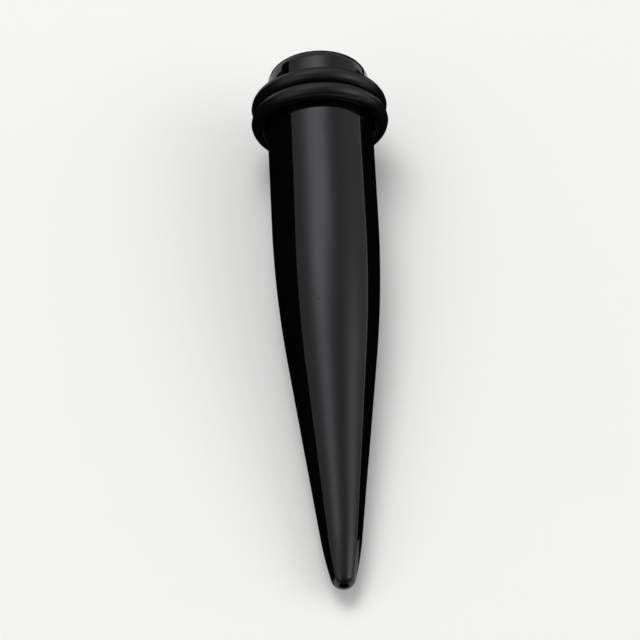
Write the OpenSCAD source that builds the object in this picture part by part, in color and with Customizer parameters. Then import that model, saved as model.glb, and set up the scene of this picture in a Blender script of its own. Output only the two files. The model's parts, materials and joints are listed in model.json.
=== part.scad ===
// Ear stretching taper with two O-rings, lying on a level surface as it comes to rest:
// on the lower side of the front O-ring and on the belly where the shaft runs into the cone,
// with the tip just off the surface. The tip points along -Y, +Z is up, and the origin is
// on the surface, under the middle of the part.

/* [Taper] */
// Diameter of the wearing section, 10 mm for the 00 gauge
gauge_d = 10; // [6:0.1:14]
// Length from the head's end face to the very tip
overall_len = 54.6; // [48:0.1:70]
// From the end face to where the cone would leave the shaft at a sharp corner
corner_at = 24.1; // [21:0.1:28]
// Length of the soft run from shaft to cone, half of it on each side of that corner
run_len = 14.6; // [4:0.2:18]
// Diameter of the small ball that closes the tip
tip_d = 2.3; // [1.6:0.1:4]
// Radius of the long arc that the cone runs into before that ball
tip_curve_r = 36; // [8:1:80]
// How many degrees the side turns in along that arc
tip_turn = 7; // [2:0.5:12]

/* [Head] */
// How much narrower the head is at its end face than the wearing section
head_draft = 0.44; // [0:0.02:1]
// Radius that rounds the rim of the end face
rim_r = 1.3; // [0.3:0.1:2]
// From the end face to the middle of the O-ring nearer the head
head_len = 3.95; // [3.5:0.05:7]

/* [O-rings] */
// Thickness of the rubber
cord_d = 1.66; // [1.2:0.02:2.4]
// How far the inner side of the rubber is pressed flat against the shaft
pressed = 0.15; // [0.05:0.01:0.3]
// Clearance between the rubber and the shaft
shaft_gap = 0.02; // [0.01:0.01:0.1]
// Clearance between the two O-rings
ring_gap = 0.02; // [0.01:0.01:0.5]

/* [Hidden] */
$fn = 128;
arc_steps = 10;
// Turn about its own axis before it is laid down: once meshed, it then lies on a flat of its
// underside, and doesn't roll on to one
rest_turn = -5.3;

shaft_r = gauge_d/2;
tip_r = tip_d/2;
cord_r = cord_d/2;

// The O-rings along the axis, counted from the end face. The wearing section starts in
// front of them, and from there to the rim the side leans in, under the O-rings too.
head_ring_at = head_len;
tip_ring_at = head_ring_at + cord_d + ring_gap;
wear_start = tip_ring_at + cord_r;
lean = atan2(head_draft/2, wear_start);
function side_r(at) = shaft_r - (wear_start - at)*tan(lean);
function ring_r(at) = side_r(at) + shaft_gap + cord_r - pressed;

// The cone's slope: a straight line from the corner that passes the middle of the tip's
// ball at the distance which the arc between them takes up
tip_at = overall_len - tip_r;
cone_off = tip_curve_r - (tip_curve_r - tip_r)*cos(tip_turn);
corner_reach = norm([shaft_r, tip_at - corner_at]);
slope = atan2(shaft_r, tip_at - corner_at) - asin(cone_off/corner_reach);

// The run's arc touches the shaft and the cone, half a run away from the corner on each
run_r = run_len/2/tan(slope/2);
run_centre = [shaft_r - run_r, corner_at - run_len/2];

// The rim's arc touches the end face and the leaning side
rim_centre = [side_r(0) - rim_r*tan(45 - lean/2), rim_r];
tip_centre = [0, tip_at];

// The tip's arc touches the cone where it starts and the ball where it ends
tip_curve_centre = tip_centre - (tip_curve_r - tip_r)*[cos(slope + tip_turn), sin(slope + tip_turn)];

// The angle at which the line that touches the front O-ring and a circle of the section
// slopes to the axis: the part tips down to the smaller of the two when set on a surface
ring_centre = [ring_r(tip_ring_at), tip_ring_at];
function rest_slope(centre, r) =
    let (reach = centre - ring_centre)
    acos((r - cord_r)/norm(reach)) - atan2(reach[1], -reach[0]);
pitch = min(rest_slope(run_centre, run_r), rest_slope(tip_centre, tip_r));

// Where the middle of the end face then lies
head_y = (tip_r - rim_r + (tip_at + rim_r)*cos(pitch) - rim_centre[0]*sin(pitch))/2;
head_z = cord_r + ring_centre[0]*cos(pitch) + tip_ring_at*sin(pitch);

// Points on an arc, from one angle to another
function arc(centre, r, from, to, steps) =
    [for (i = [0:steps]) let (a = from + (to - from)*i/steps) centre + r*[cos(a), sin(a)]];

// Half of the taper's lengthwise section, from the axis outwards, head end down. The tip's
// arc leaves out its last point, which is the ball's first.
module taper_section() {
    polygon(concat(
        [[0, 0]],
        arc(rim_centre, rim_r, -90, -lean, arc_steps),
        [[shaft_r, wear_start]],
        arc(run_centre, run_r, 0, slope, arc_steps),
        arc(tip_curve_centre, tip_curve_r, slope, slope + tip_turn*(arc_steps - 1)/arc_steps, arc_steps - 1),
        arc(tip_centre, tip_r, slope + tip_turn, 90, arc_steps)
    ));
}

// Section of an O-ring: round, but flat along the shaft's side, which it is pressed on
module ring_section(at) {
    intersection() {
        translate([ring_r(at), at]) circle(cord_r);
        translate([side_r(at) + shaft_gap, at]) rotate(-lean) translate([0, -cord_d]) square(2*cord_d);
    }
}

// Lays the upright part down: the axis goes from the end face down along -Y to the tip
module at_rest() {
    translate([0, head_y, head_z]) rotate([90 + pitch, 0, 0]) rotate(rest_turn) children();
}

module o_ring(at) {
    color("#1c1c1d") at_rest() rotate_extrude() ring_section(at);
}

// Head, wearing section, cone and tip: one turned and polished piece of acrylic
module taper() {
    color("#0c0c0e") at_rest() rotate_extrude() taper_section();
}

module o_ring_head() {
    o_ring(head_ring_at);
}

module o_ring_tip() {
    o_ring(tip_ring_at);
}

taper();
o_ring_head();
o_ring_tip();
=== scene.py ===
"""An ear stretching taper, 00 gauge, with its two O-rings, lying on a pale floor."""

import json
import math

import bpy
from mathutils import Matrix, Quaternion, Vector


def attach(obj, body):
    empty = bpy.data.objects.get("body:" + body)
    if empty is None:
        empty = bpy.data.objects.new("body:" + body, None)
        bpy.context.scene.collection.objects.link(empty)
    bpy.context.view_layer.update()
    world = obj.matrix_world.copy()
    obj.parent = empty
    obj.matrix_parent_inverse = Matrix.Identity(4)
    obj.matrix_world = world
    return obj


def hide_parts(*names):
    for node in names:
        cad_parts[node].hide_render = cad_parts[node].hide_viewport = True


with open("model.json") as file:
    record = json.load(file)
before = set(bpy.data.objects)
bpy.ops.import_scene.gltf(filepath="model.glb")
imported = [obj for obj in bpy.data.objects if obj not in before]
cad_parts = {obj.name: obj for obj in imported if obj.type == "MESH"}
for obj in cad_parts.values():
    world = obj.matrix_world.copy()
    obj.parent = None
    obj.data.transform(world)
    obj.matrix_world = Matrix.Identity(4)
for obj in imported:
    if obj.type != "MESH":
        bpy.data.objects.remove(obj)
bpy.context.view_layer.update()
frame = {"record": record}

# The taper: one rod of black acrylic, turned on a lathe and buffed. A short head narrows a
# little to its end face; then come the straight wearing section, a long soft run into the
# cone, and a tip that draws in and ends round. The O-rings hold on it by their own stretch.
MM = 0.001
mounts = {mount["name"]: mount for mount in frame["record"]["mounts"]}
shaft_r = mounts["wearing_section"]["dims"]["r_mm"] * MM
overall_len = 54.6 * MM
corner_at = 24.1 * MM
run_len = 14.6 * MM
tip_r = 1.15 * MM
tip_curve_r = 36 * MM
tip_turn = math.radians(7)
wear_start = 6.46 * MM
head_draft = 0.22 * MM
rim_r = 1.3 * MM
turned_sides = 256
turned_step = 0.6 * MM
rim_steps, run_steps, tip_curve_steps, tip_steps = 14, 28, 10, 16
merge_within = 0.0001 * MM

# It is made upright, head end down, so every height is counted from the end face
lean = math.atan2(head_draft, wear_start)
tip_at = overall_len - tip_r
cone_off = tip_curve_r - (tip_curve_r - tip_r) * math.cos(tip_turn)
corner_reach = math.hypot(shaft_r, tip_at - corner_at)
slope = math.atan2(shaft_r, tip_at - corner_at) - math.asin(cone_off / corner_reach)
run_start = corner_at - run_len / 2
run_r = run_len / 2 / math.tan(slope / 2)
rim_centre = (shaft_r - head_draft - rim_r * math.tan(math.pi / 4 - lean / 2), rim_r)


def start_outline():
    """A single point at the origin, from a small plane that is merged, left in edit mode."""
    bpy.ops.object.select_all(action="DESELECT")
    bpy.ops.mesh.primitive_plane_add(size=MM)
    bpy.ops.object.mode_set(mode="EDIT")
    bpy.ops.mesh.merge(type="CENTER")


def draw_line(from_point, to_point):
    """Carries the outline on, straight, from its last point."""
    run, rise = to_point[0] - from_point[0], to_point[1] - from_point[1]
    count = max(1, round(math.hypot(run, rise) / turned_step))
    move = {"value": (run / count, 0, rise / count)}
    for _ in range(count):
        bpy.ops.mesh.extrude_region_move(TRANSFORM_OT_translate=move)


def draw_arc(centre, angle, steps):
    """Carries the outline on round a centre, outwards from the axis and then up."""
    middle = (centre[0], 0, centre[1])
    bpy.ops.mesh.spin(steps=steps, angle=angle, center=middle, axis=(0, 1, 0))


def turn_on_lathe(sides):
    """Spins the outline into a closed shell, faces outwards, and leaves edit mode."""
    bpy.ops.mesh.select_all(action="SELECT")
    bpy.ops.mesh.spin(
        steps=sides, angle=math.tau, center=(0, 0, 0), axis=(0, 0, 1), use_auto_merge=True,
    )
    bpy.ops.mesh.select_all(action="SELECT")
    bpy.ops.mesh.remove_doubles(threshold=merge_within)
    bpy.ops.mesh.normals_make_consistent(inside=False)
    bpy.ops.object.mode_set(mode="OBJECT")
    bpy.ops.object.shade_smooth()


end_middle = Vector(mounts["head_end"]["pos_m"])
to_tip = -Vector(mounts["head_end"]["axis"])
tipped = (math.atan2(-to_tip.y, to_tip.z), 0, 0)


def lay_down(piece):
    """Turns a piece that was made upright, head end down, to where it lies, in its mesh."""
    piece.rotation_euler = tipped
    piece.location = end_middle
    bpy.ops.object.transform_apply(location=True, rotation=True, scale=True)


side_start = (rim_centre[0] + rim_r * math.cos(lean), rim_r - rim_r * math.sin(lean))
cone_start = (shaft_r - run_r * (1 - math.cos(slope)), run_start + run_r * math.sin(slope))
curve_reach = tip_curve_r - tip_r
curve_centre = (
    -curve_reach * math.cos(slope + tip_turn),
    tip_at - curve_reach * math.sin(slope + tip_turn),
)
cone_end = (
    curve_centre[0] + tip_curve_r * math.cos(slope),
    curve_centre[1] + tip_curve_r * math.sin(slope),
)
start_outline()
draw_line((0, 0), (rim_centre[0], 0))
draw_arc(rim_centre, math.pi / 2 - lean, rim_steps)
draw_line(side_start, (shaft_r, wear_start))
draw_line((shaft_r, wear_start), (shaft_r, run_start))
draw_arc((shaft_r - run_r, run_start), slope, run_steps)
draw_line(cone_start, cone_end)
draw_arc(curve_centre, tip_turn, tip_curve_steps)
draw_arc((0, tip_at), math.pi / 2 - slope - tip_turn, tip_steps)
turn_on_lathe(turned_sides)
taper = bpy.context.object
taper.name = taper.data.name = "acrylic_taper"
lay_down(taper)


def linear(hex_colour):
    """An sRGB hex colour as the linear values that a shader takes."""
    parts = [int(hex_colour[i:i + 2], 16) / 255 for i in (1, 3, 5)]
    return (*(c / 12.92 if c <= 0.04045 else ((c + 0.055) / 1.055) ** 2.4 for c in parts), 1)


def add_node(tree, kind, settings=None, inputs=None):
    """Adds a node with its own settings, and its inputs set to values or linked to sockets."""
    node = tree.nodes.new(kind)
    for name, value in (settings or {}).items():
        setattr(node, name, value)
    for name, value in (inputs or {}).items():
        socket = next(s for s in node.inputs if name in (s.identifier, s.name))
        if isinstance(value, bpy.types.NodeSocket):
            tree.links.new(value, socket)
        else:
            socket.default_value = value
    return node


def new_material(name):
    """A named material with an empty tree."""
    material = bpy.data.materials.new(name)
    material.use_nodes = True
    material.node_tree.nodes.clear()
    return material, material.node_tree


# Cast acrylic, turned and buffed: very dark and clear-cut, with a mirror gloss that wavers a
# little where the buff has worked, the faintest rings left round the rod by the lathe, and a
# few dull pinholes that the buff hasn't reached. The real rings are some hundredths of a
# millimetre apart; they are drawn coarser to show. Each stays even over the drift's length.
acrylic, tree = new_material("buffed_cast_acrylic")
wave_length = 4.5 * MM
wave_height = 0.011 * MM
ring_spacing = 0.22 * MM
ring_drift = 2.75 * MM
ring_height = 0.00012 * MM
haze_size = 1.6 * MM
pinhole_spacing = 2.4 * MM
pinhole_r = 0.13 * MM
pinhole_depth = 0.01 * MM
polished_glint = 0.5
pinhole_glint = 0.05
place = add_node(tree, "ShaderNodeTexCoord").outputs["Object"]
upright = add_node(
    tree, "ShaderNodeMapping", {"vector_type": "TEXTURE"},
    {"Vector": place, "Location": end_middle, "Rotation": tipped},
).outputs["Vector"]
waves = add_node(
    tree, "ShaderNodeTexNoise", inputs={"Vector": upright, "Scale": 1 / wave_length, "Detail": 1.0},
).outputs["Fac"]
stretched = add_node(
    tree, "ShaderNodeMapping", {"vector_type": "POINT"},
    {"Vector": upright, "Scale": (1 / ring_drift, 1 / ring_drift, 1 / ring_spacing)},
).outputs["Vector"]
rings = add_node(
    tree, "ShaderNodeTexNoise", inputs={"Vector": stretched, "Scale": 1.0, "Detail": 3.0},
).outputs["Fac"]
haze = add_node(
    tree, "ShaderNodeTexNoise", inputs={"Vector": upright, "Scale": 1 / haze_size, "Detail": 4.0},
).outputs["Fac"]
from_pinhole = add_node(
    tree, "ShaderNodeTexVoronoi", inputs={"Vector": upright, "Scale": 1 / pinhole_spacing},
).outputs["Distance"]
pinhole = add_node(
    tree, "ShaderNodeMapRange", {"interpolation_type": "SMOOTHSTEP"},
    {
        "Value": from_pinhole, "From Min": 0.0, "From Max": pinhole_r / pinhole_spacing,
        "To Min": 1.0, "To Max": 0.0,
    },
).outputs["Result"]
colour = add_node(tree, "ShaderNodeValToRGB", inputs={"Fac": haze})
colour.color_ramp.elements[0].color = linear("#030304")
colour.color_ramp.elements[1].color = linear("#060607")
gloss = add_node(
    tree, "ShaderNodeMapRange",
    inputs={"Value": haze, "From Min": 0.3, "From Max": 0.7, "To Min": 0.055, "To Max": 0.085},
).outputs["Result"]
wavy = add_node(
    tree, "ShaderNodeBump", inputs={"Height": waves, "Strength": 1.0, "Distance": wave_height},
).outputs["Normal"]
ringed = add_node(
    tree, "ShaderNodeBump",
    inputs={"Height": rings, "Strength": 1.0, "Distance": ring_height, "Normal": wavy},
).outputs["Normal"]
pitted = add_node(
    tree, "ShaderNodeBump", {"invert": True},
    {"Height": pinhole, "Strength": 1.0, "Distance": pinhole_depth, "Normal": ringed},
).outputs["Normal"]
glint = add_node(
    tree, "ShaderNodeMath", {"operation": "MULTIPLY_ADD"},
    {"Value": pinhole, "Value_001": pinhole_glint - polished_glint, "Value_002": polished_glint},
).outputs["Value"]
shader = add_node(
    tree, "ShaderNodeBsdfPrincipled",
    inputs={
        "Base Color": colour.outputs["Color"], "Roughness": gloss, "IOR": 1.49,
        "Specular IOR Level": glint, "Specular Tint": linear("#faf9ff"), "Normal": pitted,
    },
)
add_node(tree, "ShaderNodeOutputMaterial", inputs={"Surface": shader.outputs["BSDF"]})
taper.data.materials.append(acrylic)
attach(taper, "root")
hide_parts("taper")

# The two O-rings: black nitrile rubber, moulded between two plates that leave a fine seam
# round the outside. They are rolled up the shaft to sit side by side on the leaning head, and
# their stretch presses them flat on the acrylic, so each is drawn with its inner side flat.
cord_r = 0.83 * MM
seam_height = 0.02 * MM
seam_width = 0.11 * MM
moulded_r = cord_r - seam_height
pressed = 0.15 * MM
shaft_gap = 0.02 * MM
ring_gap = 0.02 * MM
head_ring_at = 3.95 * MM
lip_round = 0.04 * MM
near = 0.01 * MM
very_near = 0.001 * MM
section_points = 56
ring_sides = 288
ring_places = {
    "head_o_ring": ("o_ring_head", head_ring_at),
    "tip_o_ring": ("o_ring_tip", head_ring_at + 2 * cord_r + ring_gap),
}


def select_loops(piece, is_chosen):
    """Selects the edges with both ends where the test says, and goes back to edit mode."""
    bpy.ops.mesh.select_all(action="DESELECT")
    bpy.ops.mesh.select_mode(type="EDGE")
    bpy.ops.object.mode_set(mode="OBJECT")
    chosen = [is_chosen(math.hypot(v.co.x, v.co.y), v.co.z) for v in piece.data.vertices]
    for edge in piece.data.edges:
        edge.select = all(chosen[i] for i in edge.vertices)
    bpy.ops.object.mode_set(mode="EDIT")


def mould_o_ring(at):
    """An O-ring in its place on the upright shaft, its middle plane at a height."""
    side = shaft_r - (wear_start - at) * math.tan(lean)
    middle = side + shaft_gap + cord_r - pressed
    bpy.ops.object.select_all(action="DESELECT")
    bpy.ops.mesh.primitive_circle_add(
        vertices=section_points, radius=moulded_r,
        location=(middle, 0, at), rotation=(math.pi / 2, 0, 0),
    )
    bpy.ops.object.transform_apply(location=True, rotation=True, scale=True)
    piece = bpy.context.object
    bpy.ops.object.mode_set(mode="EDIT")
    bpy.ops.mesh.select_all(action="SELECT")
    bpy.ops.mesh.bisect(
        plane_co=(side + shaft_gap, 0, at), plane_no=(math.cos(lean), 0, -math.sin(lean)),
        clear_inner=True, threshold=merge_within,
    )
    bpy.ops.mesh.edge_face_add()
    turn_on_lathe(ring_sides)

    # The two lips beside the flat are rounded
    flat_depth = (cord_r - pressed) * math.cos(lean)
    flat_half = math.sqrt(moulded_r ** 2 - flat_depth ** 2)
    bpy.ops.object.mode_set(mode="EDIT")
    for end in (-1, 1):
        lip_at = at + flat_depth * math.sin(lean) + end * flat_half * math.cos(lean)
        lip_r = middle - flat_depth * math.cos(lean) + end * flat_half * math.sin(lean)
        select_loops(piece, lambda r, z: math.hypot(r - lip_r, z - lip_at) < near)
        bpy.ops.mesh.bevel(offset=lip_round, segments=3, affect="EDGES")

    # The seam is drawn out of the middle of the outside
    outside = middle + moulded_r
    select_loops(piece, lambda r, z: r > outside - very_near)
    bpy.ops.mesh.bevel(offset=seam_width / 2, segments=2, affect="EDGES")
    select_loops(piece, lambda r, z: abs(z - at) < near and r > middle)
    widening = 1 + seam_height / outside
    bpy.ops.transform.resize(value=(widening, widening, 1), center_override=(0, 0, 0))
    bpy.ops.mesh.select_all(action="SELECT")
    bpy.ops.mesh.normals_make_consistent(inside=False)
    bpy.ops.object.mode_set(mode="OBJECT")
    bpy.ops.object.shade_smooth()
    return piece


# Moulded nitrile rubber: a satin black that is greyer than the acrylic, with a fine grain
# from the blasted mould and a slight cloudy bloom. The real grain is about 0.02 mm; it is
# drawn coarser to show.
rubber, tree = new_material("moulded_nitrile_rubber")
grain_size = 0.09 * MM
grain_height = 0.004 * MM
bloom_size = 2.2 * MM
place = add_node(tree, "ShaderNodeTexCoord").outputs["Object"]
grain = add_node(
    tree, "ShaderNodeTexNoise", inputs={"Vector": place, "Scale": 1 / grain_size, "Detail": 2.0},
).outputs["Fac"]
bloom = add_node(
    tree, "ShaderNodeTexNoise", inputs={"Vector": place, "Scale": 1 / bloom_size, "Detail": 3.0},
).outputs["Fac"]
colour = add_node(tree, "ShaderNodeValToRGB", inputs={"Fac": bloom})
colour.color_ramp.elements[0].position = 0.3
colour.color_ramp.elements[0].color = linear("#070708")
colour.color_ramp.elements[1].position = 0.7
colour.color_ramp.elements[1].color = linear("#0b0b0c")
satin = add_node(
    tree, "ShaderNodeMapRange",
    inputs={"Value": bloom, "From Min": 0.3, "From Max": 0.7, "To Min": 0.28, "To Max": 0.34},
).outputs["Result"]
grained = add_node(
    tree, "ShaderNodeBump", inputs={"Height": grain, "Strength": 1.0, "Distance": grain_height},
).outputs["Normal"]
shader = add_node(
    tree, "ShaderNodeBsdfPrincipled",
    inputs={
        "Base Color": colour.outputs["Color"], "Roughness": satin, "IOR": 1.52,
        "Specular IOR Level": 0.36, "Normal": grained,
    },
)
add_node(tree, "ShaderNodeOutputMaterial", inputs={"Surface": shader.outputs["BSDF"]})

for name, (node_name, at) in ring_places.items():
    o_ring = mould_o_ring(at)
    o_ring.name = o_ring.data.name = name
    lay_down(o_ring)
    o_ring.data.materials.append(rubber)
    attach(o_ring, "root")
    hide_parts(node_name)

# The floor: a sheet of white card, matt and laid flat, far wider than the view. It is no
# part of the object.
floor_size = 6000 * MM
bpy.ops.object.select_all(action="DESELECT")
bpy.ops.mesh.primitive_plane_add(size=floor_size)
floor = bpy.context.object
floor.name = "floor"
card, tree = new_material("white_card")
shader = add_node(
    tree, "ShaderNodeBsdfPrincipled",
    inputs={"Base Color": linear("#f5f5f4"), "Roughness": 0.9, "IOR": 1.3},
)
add_node(tree, "ShaderNodeOutputMaterial", inputs={"Surface": shader.outputs["BSDF"]})
floor.data.materials.append(card)

# The light: a white tent lit from outside by soft lamps. Each is a soft round patch on the
# tent, at an elevation and an azimuth in degrees, counted from straight behind the taper
# towards +X. The tent is open, and so darker, where the camera looks in.
tent_light = 0.47
lamps = (
    {"azimuth": -1, "elevation": 57, "light": 1.25, "half_width": 12},
    {"azimuth": -46, "elevation": 62, "light": 1.4, "half_width": 14},
    {"azimuth": 95, "elevation": 35, "light": 1.5, "half_width": 17},
    {"azimuth": 118, "elevation": 38, "light": 1.7, "half_width": 9},
    {"azimuth": -138, "elevation": 38, "light": 1.15, "half_width": 7},
    {"azimuth": -108, "elevation": 42, "light": 0.55, "half_width": 15},
    {"azimuth": 178, "elevation": 2, "light": -0.47, "half_width": 42},
)
world = bpy.data.worlds.new("light_tent")
bpy.context.scene.world = world
world.use_nodes = True
tree = world.node_tree
tree.nodes.clear()
direction = add_node(tree, "ShaderNodeTexCoord").outputs["Generated"]
total = tent_light
for lamp in lamps:
    azimuth, elevation = math.radians(lamp["azimuth"]), math.radians(lamp["elevation"])
    level = math.cos(elevation)
    towards = (math.sin(azimuth) * level, math.cos(azimuth) * level, math.sin(elevation))
    sharpness = math.log(2) / (1 - math.cos(math.radians(lamp["half_width"])))
    nearness = add_node(
        tree, "ShaderNodeVectorMath", {"operation": "DOT_PRODUCT"},
        {"Vector": direction, "Vector_001": towards},
    ).outputs["Value"]
    fade = add_node(
        tree, "ShaderNodeMath", {"operation": "MULTIPLY_ADD"},
        {"Value": nearness, "Value_001": sharpness, "Value_002": -sharpness},
    ).outputs["Value"]
    glow = add_node(
        tree, "ShaderNodeMath", {"operation": "EXPONENT"}, {"Value": fade},
    ).outputs["Value"]
    total = add_node(
        tree, "ShaderNodeMath", {"operation": "MULTIPLY_ADD"},
        {"Value": glow, "Value_001": lamp["light"], "Value_002": total},
    ).outputs["Value"]
background = add_node(
    tree, "ShaderNodeBackground", inputs={"Color": linear("#ffffff"), "Strength": total},
)
add_node(tree, "ShaderNodeOutputWorld", inputs={"Surface": background.outputs["Background"]})

# Black cards round the taper, seen only in its gloss: they draw the dark edges that set it
# off. One slopes up on the left, one stands beyond the head, and the others lie just off the
# floor: to the right, under the tip, before it and behind the head. Corners in millimetres.
low = 0.3
black_cards = {
    "left_card": ((-3.5, -27, low), (-60, -30, 9), (-3.5, 25, low), (-60, 66, 40)),
    "head_card": ((-60, 48, 12), (-60, 48, 34), (-60, 84, 12), (-60, 84, 34)),
    "right_card": ((3.5, -16, low), (60, -14, low), (3.5, 27, low), (300, 240, low)),
    "tip_card": ((-3.5, -27, low), (0, -27, low), (-3.5, 20, low), (-3.4, 20, low)),
    "tip_side_card": ((2, -25.5, low), (10, -20, low), (3.5, -16, low), (60, -10, low)),
    "front_card": ((-45, -110, low), (45, -110, low), (-1.8, -28.4, low), (1.8, -28.4, low)),
    "back_card": ((-14, 35.5, low), (17, 35.5, low), (-60, 300, low), (190, 300, low)),
}
velvet, tree = new_material("black_velvet")
shader = add_node(tree, "ShaderNodeBsdfDiffuse", inputs={"Color": linear("#050505")})
add_node(tree, "ShaderNodeOutputMaterial", inputs={"Surface": shader.outputs["BSDF"]})
for name, corners in black_cards.items():
    bpy.ops.object.select_all(action="DESELECT")
    bpy.ops.mesh.primitive_plane_add(size=MM)
    flag = bpy.context.object
    flag.name = name
    for vertex, corner in zip(flag.data.vertices, corners):
        vertex.co = Vector(corner) * MM
    flag.visible_camera = flag.visible_shadow = False
    flag.visible_diffuse = flag.visible_transmission = False
    flag.data.materials.append(velvet)

# A lamp for the floor alone, which the gloss doesn't show: it brightens the card and casts
# a soft shadow.
fill_place = Vector((-150, 300, 800)) * MM
fill_size = 500 * MM
fill_power = 2.2
bpy.ops.object.light_add(type="AREA", location=fill_place)
fill = bpy.context.object
fill.data.shape = "DISK"
fill.data.size = fill_size
fill.data.energy = fill_power
fill.rotation_euler = fill_place.to_track_quat("Z", "Y").to_euler()
fill.visible_glossy = False

# The camera: it stands where the photographer's stood, looks down on the tip end of the
# taper, and has a longer lens, so that the taper fills the picture.
lens = 219
camera_place = Vector((-12.9, -204.0, 299.9)) * MM
aim = Vector((-1.0, -1.0, 6.0)) * MM
roll = math.radians(-0.94)
turn = (aim - camera_place).to_track_quat("-Z", "Y") @ Quaternion((0, 0, 1), -roll)
bpy.ops.object.camera_add(location=camera_place, rotation=turn.to_euler())
camera = bpy.context.object
camera.data.sensor_width = 36
camera.data.lens = lens
camera.data.clip_start = 10 * MM
camera.data.clip_end = 20000 * MM
bpy.context.scene.camera = camera
bpy.context.scene.view_settings.view_transform = "Standard"
